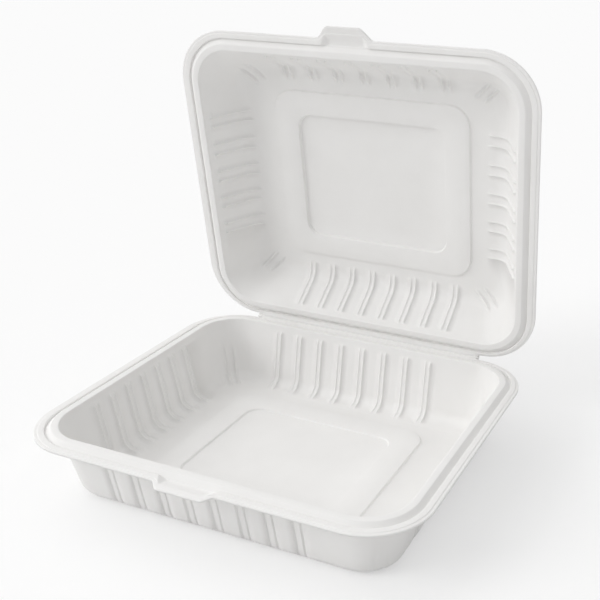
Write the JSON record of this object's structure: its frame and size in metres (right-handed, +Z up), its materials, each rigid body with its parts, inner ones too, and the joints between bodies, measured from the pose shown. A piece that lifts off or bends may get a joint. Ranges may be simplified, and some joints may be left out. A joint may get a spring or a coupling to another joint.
{
  "type": "bagasse clamshell container",
  "caption": "Hinged moulded-pulp takeaway box: ribbed base and lid trays joined along one fold, with rolled sealing rims and a tuck tab.",
  "frame": {"origin": "centre of the base's foot, on the surface it stands on", "axes": "+Z up, +X along the fold, -Y towards the front tabs"},
  "size_m": [0.23, 0.2209, 0.2403],
  "materials": {
    "pulp": "matte"
  },
  "bodies": {
    "base": {"base_tray": "pulp"},
    "lid": {"lid_tray": "pulp"}
  },
  "joints": [
    {"name": "lid_hinge", "type": "hinge", "parent": "base", "child": "lid", "pos_m": [0, 0.0952, 0.0412], "axis": [1, 0, 0], "range_deg": [-97, 83]}
  ]
}
